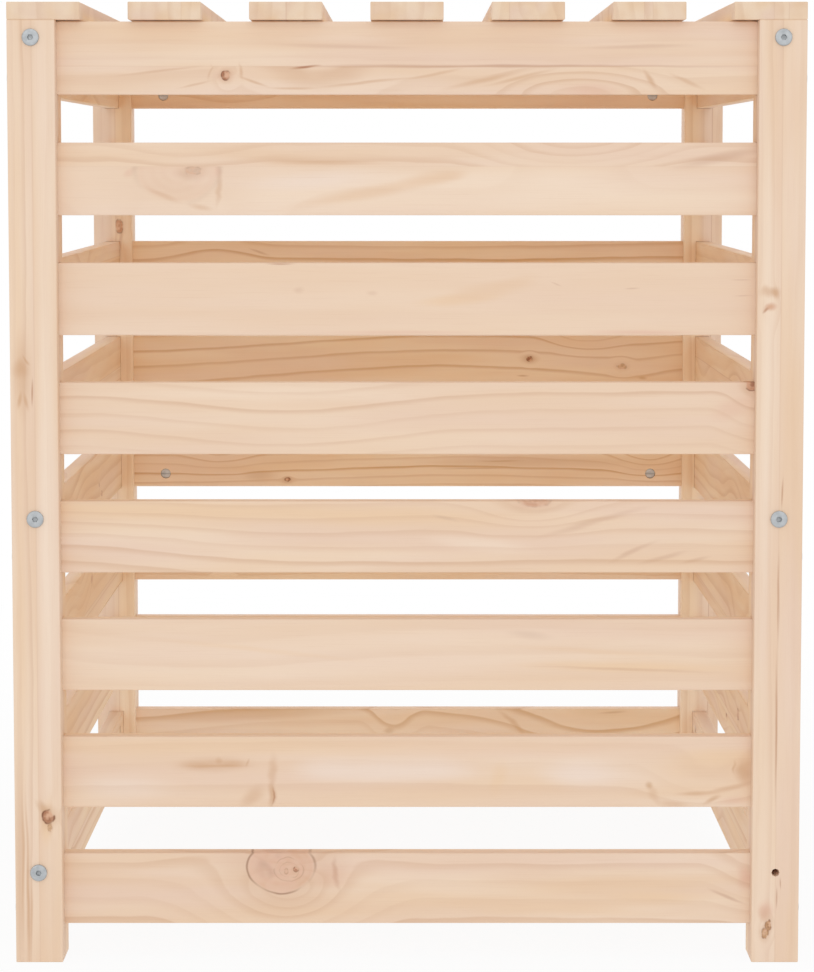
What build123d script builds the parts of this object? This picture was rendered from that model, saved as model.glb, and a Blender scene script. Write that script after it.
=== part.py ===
"""Slatted pine compost bin: four posts, bolted walls of rails and a lift-off lid.

Millimetres. The origin is the middle of the footprint on the ground.
+X is to the right, +Y runs from the front wall to the back wall, +Z is up.
"""
import os
from math import sqrt

from build123d import *

# Overall size
WIDTH = 635.0
DEPTH = 635.0
HEIGHT = 775.0

# Timber sections
POST_SIDE = 38.0
RAIL_WIDTH = 58.0
RAIL_THICKNESS = 14.0
LID_BOARD_WIDTH = 58.0
LID_BOARD_THICKNESS = 14.0
BATTEN_WIDTH = 58.0
BATTEN_THICKNESS = 14.0
EDGE_EASE = 0.5

# Walls: rails counted from the top, each end let into a housing in its post
RAIL_COUNT = 8
FOOT_HEIGHT = 29.0
TOP_RAIL_DROP = 1.0
HOUSING_DEPTH = 8.0
HOUSING_CLEARANCE = 0.2

# Lid
LID_BOARD_COUNT = 7
BATTEN_CLEARANCE = 2.0

# Connector bolts with a flat head and a hexagon socket
BOLT_DIAMETER = 6.0
BOLT_HEAD_DIAMETER = 13.6
BOLT_HEAD_HEIGHT = 2.0
SOCKET_WIDTH = 4.0
SOCKET_DEPTH = 3.0
BOLT_PAST_NUT = 10.0
BOLT_OFFSET = 16.0
BOLT_CLEARANCE = 0.3
BOLT_END_CLEARANCE = 3.0

# Barrel nuts, set into blind bores in the inner faces of the bolted rails
NUT_DIAMETER = 10.0
NUT_SETBACK = 32.0
NUT_SKIN = 1.5
NUT_CLEARANCE = 0.15
NUT_THREAD_CLEARANCE = 0.1
NUT_SLOT_WIDTH = 1.4
NUT_SLOT_DEPTH = 1.2

# Countersunk screws through the battens into the lid boards
SCREW_DIAMETER = 4.0
SCREW_HEAD_DIAMETER = 8.0
SCREW_TIP_LENGTH = 3.0
SCREW_TIP_RADIUS = 0.3
SCREW_SKIN = 3.0
SCREW_CLEARANCE = 0.1

# The fasteners and their holes repeat many times, so few flats stand for each round:
# more on heads, nuts and their bores, fewer on shanks and their holes
ROUND_FLATS = 12
SHANK_FLATS = 8

# Places worked out from the sizes above
POST_HEIGHT = HEIGHT - LID_BOARD_THICKNESS
POST_X = (WIDTH - POST_SIDE) / 2
POST_Y = (DEPTH - POST_SIDE) / 2
INNER_X = WIDTH / 2 - POST_SIDE
INNER_Y = DEPTH / 2 - POST_SIDE
TOP_RAIL_Z = POST_HEIGHT - TOP_RAIL_DROP - RAIL_WIDTH / 2
RAIL_PITCH = (TOP_RAIL_Z - FOOT_HEIGHT - RAIL_WIDTH / 2) / (RAIL_COUNT - 1)
BOLTED_RAILS = (1, RAIL_COUNT // 2 + 1, RAIL_COUNT)
LID_PITCH = (WIDTH - LID_BOARD_WIDTH) / (LID_BOARD_COUNT - 1)
BATTEN_LENGTH = WIDTH - POST_SIDE - RAIL_THICKNESS - 2 * BATTEN_CLEARANCE
BATTEN_Y = INNER_Y - BATTEN_CLEARANCE - BATTEN_WIDTH / 2
BOLT_LENGTH = POST_SIDE + NUT_SETBACK + BOLT_PAST_NUT
BOLT_HOLE_RADIUS = BOLT_DIAMETER / 2 + BOLT_CLEARANCE
BOLT_HOLE_DEPTH = BOLT_LENGTH - POST_SIDE + HOUSING_DEPTH + BOLT_END_CLEARANCE
NUT_LENGTH = RAIL_THICKNESS - 2 * NUT_SKIN
SCREW_LENGTH = BATTEN_THICKNESS + LID_BOARD_THICKNESS - SCREW_SKIN

# Bolts across the front and back walls sit low on the rail and the others high, so that they pass
LOW = -BOLT_OFFSET
HIGH = BOLT_OFFSET

# Each wall: turn about Z that faces its rails inwards, and the height of its bolts on the rail
WALLS = {
    "front": (0, LOW),
    "back": (180, LOW),
    "left": (-90, HIGH),
    "right": (90, HIGH),
}
LEFT, RIGHT = -1, 1
FRONT, BACK = -1, 1
# The bolt at the bottom right of the front face is lost, and its hole stays bare
MISSING_BOLT = ("front", RAIL_COUNT, RIGHT)
POSTS = {
    "front_left": (LEFT, FRONT),
    "front_right": (RIGHT, FRONT),
    "back_left": (LEFT, BACK),
    "back_right": (RIGHT, BACK),
}


def rail_height(number):
    """Middle of a rail above the ground, rails counted from the top."""
    return TOP_RAIL_Z - (number - 1) * RAIL_PITCH


def wall_span(wall):
    """Distance between the two posts that a wall's rails join."""
    return 2 * (INNER_X if wall in ("front", "back") else INNER_Y)


def wall_place(wall, along, inward, height):
    """Place in a wall: along its rails, inwards from their middle plane, above the ground."""
    turn, _ = WALLS[wall]
    reach = POST_Y if wall in ("front", "back") else POST_X
    return Rot(0, 0, turn) * Pos(along, inward - reach, height)


def bar(length, thickness, width):
    """A planed board along X with its four long edges eased."""
    board = Box(length, thickness, width)
    return chamfer(board.edges().filter_by(Axis.X), EDGE_EASE)


def prism(radius, length, flats):
    """A round bar or hole upwards from Z = 0, with the given number of flats."""
    return extrude(RegularPolygon(radius, flats), length)


def taper(low_radius, high_radius, length, flats):
    """A cone upwards from Z = 0 between two radii, with the given number of flats."""
    high = Pos(0, 0, length) * RegularPolygon(high_radius, flats)
    return loft([RegularPolygon(low_radius, flats), high])


def post(side, end):
    """A corner post with housings for the rails of its two walls and holes for their bolts."""
    x, y = side * POST_X, end * POST_Y
    body = Pos(x, y, POST_HEIGHT / 2) * Box(POST_SIDE, POST_SIDE, POST_HEIGHT)
    body = chamfer(body.edges(), EDGE_EASE)
    housing_width = RAIL_THICKNESS + 2 * HOUSING_CLEARANCE
    housing_height = RAIL_WIDTH + 2 * HOUSING_CLEARANCE
    inset = (POST_SIDE - HOUSING_DEPTH) / 2
    bolt_hole = Pos(0, 0, -POST_SIDE / 2) * prism(BOLT_HOLE_RADIUS, POST_SIDE, SHANK_FLATS)
    cuts = []
    for number in range(1, RAIL_COUNT + 1):
        middle = rail_height(number)
        # The top housing runs out through the top of the post
        rise = TOP_RAIL_DROP if number == 1 else 0
        z = middle + rise / 2
        cuts.append(Pos(x - side * inset, y, z) * Box(HOUSING_DEPTH, housing_width, housing_height + rise))
        cuts.append(Pos(x, y - end * inset, z) * Box(housing_width, HOUSING_DEPTH, housing_height + rise))
        if number in BOLTED_RAILS:
            cuts.append(Pos(x, y, middle + LOW) * Rot(0, 90, 0) * bolt_hole)
            cuts.append(Pos(x, y, middle + HIGH) * Rot(90, 0, 0) * bolt_hole)
    return body - cuts


def plain_rail(span):
    """A rail along X, with its middle at the origin and its inner face towards +Y."""
    return bar(span + 2 * HOUSING_DEPTH, RAIL_THICKNESS, RAIL_WIDTH)


def bolted_rail(span, bolt_rise):
    """A rail drilled at both ends for a bolt, and from its inner face for the bolt's barrel nut."""
    bolt_hole = prism(BOLT_HOLE_RADIUS, BOLT_HOLE_DEPTH, SHANK_FLATS)
    nut_bore = prism(NUT_DIAMETER / 2 + NUT_CLEARANCE, RAIL_THICKNESS - NUT_SKIN, ROUND_FLATS)
    cuts = []
    for end in (LEFT, RIGHT):
        hole_x = end * (span / 2 + HOUSING_DEPTH)
        bore_x = end * (span / 2 - NUT_SETBACK)
        cuts.append(Pos(hole_x, 0, bolt_rise) * Rot(0, -end * 90, 0) * bolt_hole)
        cuts.append(Pos(bore_x, RAIL_THICKNESS / 2, bolt_rise) * Rot(90, 0, 0) * nut_bore)
    return plain_rail(span) - cuts


def wall_rails(wall):
    """The rails of one wall by number, bolted at the top, the middle and the bottom."""
    _, bolt_rise = WALLS[wall]
    plain = plain_rail(wall_span(wall))
    bolted = bolted_rail(wall_span(wall), bolt_rise)
    return {
        number: wall_place(wall, 0, 0, rail_height(number)) * (bolted if number in BOLTED_RAILS else plain)
        for number in range(1, RAIL_COUNT + 1)
    }


def bolt():
    """A connector bolt along Z, its head resting on Z = 0 and its shank below."""
    body = prism(BOLT_HEAD_DIAMETER / 2, BOLT_HEAD_HEIGHT, ROUND_FLATS)
    body += prism(BOLT_DIAMETER / 2, -BOLT_LENGTH, SHANK_FLATS)
    return body - Pos(0, 0, BOLT_HEAD_HEIGHT) * prism(SOCKET_WIDTH / sqrt(3), -SOCKET_DEPTH, 6)


def barrel_nut():
    """A barrel nut along Y with a threaded cross hole along X and a slot that shows its way."""
    body = Pos(0, NUT_LENGTH / 2, 0) * Rot(90, 0, 0) * prism(NUT_DIAMETER / 2, NUT_LENGTH, ROUND_FLATS)
    thread = prism(BOLT_DIAMETER / 2 + NUT_THREAD_CLEARANCE, NUT_DIAMETER, SHANK_FLATS)
    slot = Box(NUT_DIAMETER, NUT_SLOT_DEPTH, NUT_SLOT_WIDTH)
    body -= Pos(-NUT_DIAMETER / 2, 0, 0) * Rot(0, 90, 0) * thread
    return body - Pos(0, (NUT_LENGTH - NUT_SLOT_DEPTH) / 2, 0) * slot


def wall_nuts(wall):
    """The barrel nuts at both ends of a wall's bolted rails."""
    _, rise = WALLS[wall]
    reach = wall_span(wall) / 2 - NUT_SETBACK
    nut = barrel_nut()
    return [
        wall_place(wall, end * reach, 0, rail_height(number) + rise) * nut
        for number in BOLTED_RAILS
        for end in (LEFT, RIGHT)
    ]


def face_bolts(face):
    """The bolts with their heads on one face, through its two posts into the walls beside it."""
    _, own_rise = WALLS[face]
    reach = POST_X if face in ("front", "back") else POST_Y
    piece = Rot(90, 0, 0) * bolt()
    return [
        wall_place(face, end * reach, -POST_SIDE / 2, rail_height(number) - own_rise) * piece
        for number in BOLTED_RAILS
        for end in (LEFT, RIGHT)
        if (face, number, end) != MISSING_BOLT
    ]


def lid_board_x(number):
    """Middle of a lid board, boards counted from the left."""
    return (number - 1) * LID_PITCH - (WIDTH - LID_BOARD_WIDTH) / 2


def screw_x(number):
    """Where a lid board is screwed: the middle of its stretch that lies on the batten."""
    low = max(lid_board_x(number) - LID_BOARD_WIDTH / 2, -BATTEN_LENGTH / 2)
    high = min(lid_board_x(number) + LID_BOARD_WIDTH / 2, BATTEN_LENGTH / 2)
    return (low + high) / 2


def screw():
    """A countersunk wood screw pointing up from Z = 0."""
    head, shank = SCREW_HEAD_DIAMETER / 2, SCREW_DIAMETER / 2
    body = prism(shank, SCREW_LENGTH - SCREW_TIP_LENGTH, SHANK_FLATS)
    body += taper(head, shank, head - shank, SHANK_FLATS)
    tip = taper(shank, SCREW_TIP_RADIUS, SCREW_TIP_LENGTH, SHANK_FLATS)
    return body + Pos(0, 0, SCREW_LENGTH - SCREW_TIP_LENGTH) * tip


def screw_hole():
    """The countersunk hole that a screw fits, upwards from Z = 0."""
    head = SCREW_HEAD_DIAMETER / 2 + SCREW_CLEARANCE
    shank = SCREW_DIAMETER / 2 + SCREW_CLEARANCE
    hole = prism(shank, SCREW_LENGTH + SCREW_CLEARANCE, SHANK_FLATS)
    return hole + taper(head, shank, head - shank, SHANK_FLATS)


def screw_places():
    """Each screw's place under its batten, keyed by board number and end of the lid."""
    z = POST_HEIGHT - BATTEN_THICKNESS
    return {
        (number, end): Pos(screw_x(number), end * BATTEN_Y, z)
        for number in range(1, LID_BOARD_COUNT + 1)
        for end in (FRONT, BACK)
    }


def lid_board(number):
    """A lid board from front to back, drilled from below for its two screws."""
    board = Box(LID_BOARD_WIDTH, DEPTH, LID_BOARD_THICKNESS)
    board = chamfer(board.edges(), EDGE_EASE)
    board = Pos(lid_board_x(number), 0, HEIGHT - LID_BOARD_THICKNESS / 2) * board
    hole = screw_hole()
    return board - [screw_places()[number, end] * hole for end in (FRONT, BACK)]


def lid_batten(end):
    """A batten under the lid boards, just inside the posts, countersunk from below."""
    batten = bar(BATTEN_LENGTH, BATTEN_WIDTH, BATTEN_THICKNESS)
    batten = Pos(0, end * BATTEN_Y, POST_HEIGHT - BATTEN_THICKNESS / 2) * batten
    hole = screw_hole()
    return batten - [screw_places()[number, end] * hole for number in range(1, LID_BOARD_COUNT + 1)]


def lid_screws():
    """The screws that hold the lid boards to the battens."""
    piece = screw()
    return [place * piece for place in screw_places().values()]


def compost_bin():
    """All pieces of the bin by name."""
    pieces = {}
    for name, (side, end) in POSTS.items():
        pieces[f"post_{name}"] = post(side, end)
    for wall in WALLS:
        for number, piece in wall_rails(wall).items():
            pieces[f"{wall}_rail_{number}"] = piece
        pieces[f"{wall}_rail_nuts"] = Compound(children=wall_nuts(wall))
        pieces[f"{wall}_bolts"] = Compound(children=face_bolts(wall))
    for number in range(1, LID_BOARD_COUNT + 1):
        pieces[f"lid_board_{number}"] = lid_board(number)
    pieces["lid_batten_front"] = lid_batten(FRONT)
    pieces["lid_batten_back"] = lid_batten(BACK)
    pieces["lid_screws"] = Compound(children=lid_screws())
    return pieces


os.makedirs("parts", exist_ok=True)
for node, piece in compost_bin().items():
    export_step(piece, f"parts/{node}.step")
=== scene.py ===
"""Looks of a slatted pine compost bin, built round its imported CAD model.

Lengths on the bin are in millimetres and become metres in its meshes.
Floor, lamps and the camera's place are in metres.
"""

from collections import namedtuple
from math import atan2, pi, radians

import bpy
import numpy as np
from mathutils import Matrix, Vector


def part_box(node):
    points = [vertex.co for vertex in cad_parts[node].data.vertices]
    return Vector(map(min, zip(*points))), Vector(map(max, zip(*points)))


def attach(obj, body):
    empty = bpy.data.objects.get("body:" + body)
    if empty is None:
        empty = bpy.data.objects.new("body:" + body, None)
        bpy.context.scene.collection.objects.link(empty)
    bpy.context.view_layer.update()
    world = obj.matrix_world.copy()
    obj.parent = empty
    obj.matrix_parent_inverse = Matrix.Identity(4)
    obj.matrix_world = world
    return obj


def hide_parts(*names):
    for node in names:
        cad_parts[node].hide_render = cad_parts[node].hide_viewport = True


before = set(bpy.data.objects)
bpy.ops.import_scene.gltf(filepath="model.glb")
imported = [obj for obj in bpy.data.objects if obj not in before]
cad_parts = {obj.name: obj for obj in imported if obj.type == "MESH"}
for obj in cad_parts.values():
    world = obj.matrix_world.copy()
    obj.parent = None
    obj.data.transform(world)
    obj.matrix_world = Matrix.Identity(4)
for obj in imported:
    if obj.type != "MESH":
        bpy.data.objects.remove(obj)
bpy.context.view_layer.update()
MM = 0.001

# The bin's own sizes, as in the part's source
POST_MIDDLE = 298.5
POST_FACE = 317.5
POST_INNER = 279.5
POST_HALF = 19.0
BOARD_HALF = 29.0
TOP_RAIL_HEIGHT = 731.0
RAIL_PITCH = 96.142857
BOLTED_RAILS = (1, 5, 8)
MISSING_BOLT = ("front", 1, 8)
BOLT_OFFSET = 16.0
NUT_SETBACK = 32.0
LID_BOARDS = 7
LID_PITCH = 96.166667
LID_EDGE_BOARD = 288.5
BATTEN_MIDDLE = 248.5
BATTEN_UNDERSIDE = 747.0
BATTEN_END = 289.5
QUARTER_TURNS = {"front": 0, "right": 1, "back": 2, "left": 3}


def tone(red, green, blue):
    """A colour as read off a screen, 0 to 255, as linear light."""
    shares = np.array([red, green, blue]) / 255
    light = np.where(shares <= 0.04045, shares / 12.92, ((shares + 0.055) / 1.055) ** 2.4)
    return (*light.tolist(), 1.0)


class Shade:
    """A socket in a material's node tree. Arithmetic on it adds Math nodes."""

    def __init__(self, tree, socket=None):
        self.tree = tree
        self.socket = socket

    def node(self, kind, settings=None, sockets=None, output=0):
        """Adds a node: its settings first, then a link or a value for each named socket."""
        made = self.tree.nodes.new("ShaderNode" + kind)
        for name, value in (settings or {}).items():
            setattr(made, name, value)
        for name, value in (sockets or {}).items():
            if isinstance(value, Shade):
                self.tree.links.new(value.socket, made.inputs[name])
            else:
                made.inputs[name].default_value = value
        if isinstance(output, tuple):
            return [Shade(self.tree, made.outputs[each]) for each in output]
        return Shade(self.tree, made.outputs[output])

    def math(self, operation, first, second=0.0):
        """Adds a Math node."""
        return self.node("Math", {"operation": operation}, {0: first, 1: second})

    def __add__(self, other):
        return self.math("ADD", self, other)

    def __sub__(self, other):
        return self.math("SUBTRACT", self, other)

    def __rsub__(self, other):
        return self.math("SUBTRACT", other, self)

    def __mul__(self, other):
        return self.math("MULTIPLY", self, other)

    def __pow__(self, other):
        return self.math("POWER", self, other)

    def __mod__(self, other):
        return self.math("FLOORED_MODULO", self, other)

    def __gt__(self, other):
        return self.math("GREATER_THAN", self, other)

    def __abs__(self):
        return self.math("ABSOLUTE", self)

    __radd__ = __add__
    __rmul__ = __mul__


def smooth(value, low, high):
    """0 below low and 1 above high, with a soft step between; falls where low is the larger."""
    ends = {"Value": value, "From Min": low, "From Max": high}
    return value.node("MapRange", {"interpolation_type": "SMOOTHSTEP"}, ends)


def larger(first, second):
    """The larger of two numbers."""
    return first.math("MAXIMUM", first, second)


def blend(share, first, second, way="MIX"):
    """First colour turning into the second by share."""
    settings = {"data_type": "RGBA", "blend_type": way}
    return share.node("Mix", settings, {0: share, 6: first, 7: second}, 2)


def split(vector):
    """The three numbers of a vector or colour."""
    return vector.node("SeparateXYZ", sockets={0: vector}, output=(0, 1, 2))


def cloud(place, lengths, detail=2.0):
    """Noise whose patches are lengths long along each axis: its grey value and three more in a colour."""
    scale = tuple(1 / length for length in lengths)
    stretched = place.node("VectorMath", {"operation": "MULTIPLY"}, {0: place, 1: scale})
    settings = {"Vector": stretched, "Scale": 1.0, "Detail": detail, "Roughness": 0.5}
    return place.node("TexNoise", sockets=settings, output=(0, 1))


def moved(place, by, reach):
    """A place shifted by a noise colour, up to half of reach along each axis."""
    half = tuple(-0.5 * each for each in reach)
    shift = place.node("VectorMath", {"operation": "MULTIPLY_ADD"}, {0: by, 1: reach, 2: half})
    return place.node("VectorMath", {"operation": "ADD"}, {0: place, 1: shift})


def local(place, along, across, length, width, turn=0.0):
    """Place in a spot's own axes, with its edge at 1 at any depth, and its distance from the middle."""
    spot = {
        "Vector": place,
        "Location": (along, across, 0.0),
        "Rotation": (0.0, 0.0, radians(turn)),
        "Scale": (length, width, ENDLESS),
    }
    own = place.node("Mapping", {"vector_type": "TEXTURE"}, spot)
    return own, own.node("VectorMath", {"operation": "LENGTH"}, {0: own}, 1)


def new_material(name):
    """An empty material and the root of its tree."""
    material = bpy.data.materials.new(name)
    material.use_nodes = True
    material.node_tree.nodes.clear()
    return material, Shade(material.node_tree)


def in_millimetres(root):
    """The bin's own coordinates, in millimetres."""
    coords = root.node("TexCoord", output=3)
    return coords.node("VectorMath", {"operation": "SCALE"}, {0: coords, "Scale": 1 / MM})


def surface(root, settings):
    """Ends a material in a Principled shader."""
    shader = root.node("BsdfPrincipled", sockets=settings)
    root.node("OutputMaterial", sockets={"Surface": shader}, output=())


# Pine

CREAM = tone(236, 213, 190)
PEACH = tone(228, 197, 168)
ROSE = tone(230, 203, 186)
LATEWOOD = tone(200, 156, 120)
KNOT_FILL = tone(190, 130, 96)
KNOT_RIM = tone(128, 78, 50)
KNOT_LIGHT = tone(212, 166, 136)
MARK = tone(172, 116, 84)
HONEY = tone(231, 199, 165)
BLUSH = tone(222, 180, 158)
PALE = tone(240, 220, 200)
MILK = tone(235, 215, 200)
ASH = tone(196, 166, 144)
GLUE = tone(186, 138, 104)
TAN = tone(196, 148, 106)
OCHRE = tone(186, 138, 88)
GOLDEN = tone(196, 148, 94)

# What the colour is multiplied by on sawn ends, and on faces that look into the bin and low down on those,
# where it is painted light that makes them brighter and warmer
END_GRAIN = (0.95, 0.935, 0.9, 1.0)
PAINTED_INSIDE_WARMTH = (1.08, 1.09, 1.0, 1.0)
PAINTED_INSIDE_LOW = (1.11, 1.17, 1.16, 1.0)
# Where these begin and where they are full: in from a board's end, out from the bin's axis, and in height
END_DEPTHS = (1.0, 0.4)
INSIDE_REACH = (303.0, 290.0)
INSIDE_HEIGHT = (770.0, 762.0)
LOW_HEIGHT = (210.0, 90.0)
# How much of the lines is lost on sawn ends
END_FADE = 0.4

# Lengths of noise patches along the grain, across it and through the board
RUFFLE = (60.0, 16.0, 16.0)
WAVE = (330.0, 90.0, 90.0)
PATCH = (240.0, 26.0, 26.0)
FIBRE = (46.0, 0.9, 0.9)
# How far ruffles and waves shift the grain
RUFFLE_REACH = (12.0, 3.2, 3.2)
WAVE_REACH = (30.0, 12.0, 12.0)
# How far along the noise each board, and each glued strip, lies from the one before
BOARD_STEP = 97.0
STRIP_STEP = 331.0
# Half the thickness of a glue line, at its edge and where it is darkest
GLUE_LINE = (0.7, 0.1)
# Share of a ring's width at which its latewood is darkest
RING_EDGE = 0.9
# A knot bends the rings out to the first of these, in its radii, and fully inside the second
BEND_REACH = (4.5, 0.6)
# Its push on the rings, in its radii for each radius that they lie across the grain from it
BEND = -1.1
# A knot's edge wobbles by so many millimetres, or by a share of its radius where that is less
WOBBLE = 4.5
WOBBLE_SHARE = 0.7
# Length of the gnarled patches in a knot, in its radii
GNARL = 1.5
# Where a knot's surround, heart and blotch begin and are full, in its radii
SURROUND_REACH = (2.4, 0.9)
HEART_REACH = (1.05, 0.85)
BLOTCH_REACH = (0.9, 0.3)
# Gnarl at which its heart turns light, and at which its rim and its blotch show
LIGHT_GNARL = (0.44, 0.64)
RIM_GNARL = (0.68, 0.38)
BLOTCH_GNARL = (0.52, 0.36)
# Noise at which the ground turns peach, rose and honey, and at which fibres show
PEACH_NOISE = (0.34, 0.7)
ROSE_NOISE = (0.42, 0.72)
HONEY_NOISE = (0.5, 0.26)
FIBRE_NOISE = (0.5, 0.85)
# A streak is full from the second of these to its middle, as shares of its reach
STREAK_REACH = (1.0, 0.1)
# Planed surface: its roughness, how latewood and fibres change that, and the relief that they leave
ROUGHNESS = 0.62
LATE_ROUGHNESS = -0.12
FIBRE_ROUGHNESS = 0.1
RELIEF_HEIGHT = 0.6
RELIEF_STRENGTH = 0.12
LATE_RELIEF = 0.4
WOOD_IOR = 1.45

# Lower edge of a board's first strip, below the board itself, and a depth that no board has
WHOLE = -60.0
ENDLESS = 1e5

# A strip from low up to the next: its pith, ring width, contrast of its lines, the share of a ring at which
# they start, and the strength of the glue line along its lower edge
Strip = namedtuple("Strip", "low pith_across pith_depth ring contrast start glue", defaults=(0.4, 0.5))
# A patch where the rings rise through the board
Swell = namedtuple("Swell", "along across length width rise turn", defaults=(0.0,))
# A knot, with the shares of its fill and rim, and the thickness of the rim
Knot = namedtuple("Knot", "along across radius stretch fill rim colour line", defaults=(KNOT_FILL, 0.7))
# A mark of one colour with a soft edge
Streak = namedtuple("Streak", "along across length width turn share colour", defaults=(0.0, 0.4, MARK))
# All that shows on a board, and how far its ground is mottled
Figure = namedtuple("Figure", "strips swells knots streaks mottle", defaults=((), (), (), 1.0))
# What is known of the strip at a point, and the glue lines there
Glued = namedtuple("Glued", "pith_across pith_depth per_ring contrast start shift line")


def glued_strips(figure, across, seed):
    """Facts of the glued strip that a point is in: each strip adds its difference from the one under it."""
    first = figure.strips[0]
    pith_across, pith_depth, per_ring = first.pith_across, first.pith_depth, 1 / first.ring
    contrast, start, shift, glue = first.contrast, first.start, seed * BOARD_STEP, None
    for under, strip in zip(figure.strips, figure.strips[1:]):
        above = across > strip.low
        pith_across = above * (strip.pith_across - under.pith_across) + pith_across
        pith_depth = above * (strip.pith_depth - under.pith_depth) + pith_depth
        per_ring = above * (1 / strip.ring - 1 / under.ring) + per_ring
        contrast = above * (strip.contrast - under.contrast) + contrast
        start = above * (strip.start - under.start) + start
        shift = above * STRIP_STEP + shift
        line = smooth(abs(across - strip.low), *GLUE_LINE) * strip.glue
        glue = line if glue is None else larger(glue, line)
    return Glued(pith_across, pith_depth, per_ring, contrast, start, shift, glue)


def bend_round_knots(rings, figure, place, sampled, across):
    """Rings pushed aside by each knot within its own glued strip, and the knots' own outlines."""
    cores = []
    lows = [strip.low for strip in figure.strips]
    for knot in figure.knots:
        low_side = max(low for low in lows if low < knot.across)
        high_side = min((low for low in lows if low > knot.across), default=-WHOLE)
        held = (across > low_side) * ((high_side - across) > 0.0)
        own, reach = local(place, knot.along, knot.across, knot.radius * knot.stretch, knot.radius)
        pull = smooth(reach, *BEND_REACH) * held * (BEND * knot.radius)
        rings = split(own)[1] * pull + rings
        gnarl = cloud(sampled, (GNARL * knot.radius,) * 3)[0]
        wobble = min(WOBBLE_SHARE, WOBBLE / knot.radius)
        cores.append((knot, gnarl * wobble + (reach - 0.5 * wobble), gnarl, held))
    return rings, cores


def paint_knots(colour, cores):
    """Lays each knot over the wood: its surround, rippled heart, broken rim and dark blotch."""
    for knot, reach, gnarl, held in cores:
        surround = smooth(reach, *SURROUND_REACH) * held * (0.35 * knot.fill)
        colour = blend(surround, colour, LATEWOOD)
        ripple = reach.math("SINE", reach * (9.0 + 0.6 * knot.radius)) * 0.14 + 0.86
        heart = blend(smooth(gnarl, *LIGHT_GNARL), knot.colour, KNOT_LIGHT)
        colour = blend(smooth(reach, *HEART_REACH) * ripple * held * knot.fill, colour, heart)
        broken = smooth(gnarl, *RIM_GNARL) * held * knot.rim
        rim = smooth(abs(reach - 1.0), 0.04 + knot.line / knot.radius, 0.0)
        colour = blend(rim * broken, colour, KNOT_RIM)
        blotch = smooth(reach, *BLOTCH_REACH) * smooth(gnarl, *BLOTCH_GNARL)
        colour = blend(blotch * held * (0.9 * knot.rim * knot.fill), colour, KNOT_RIM)
    return colour


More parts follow.
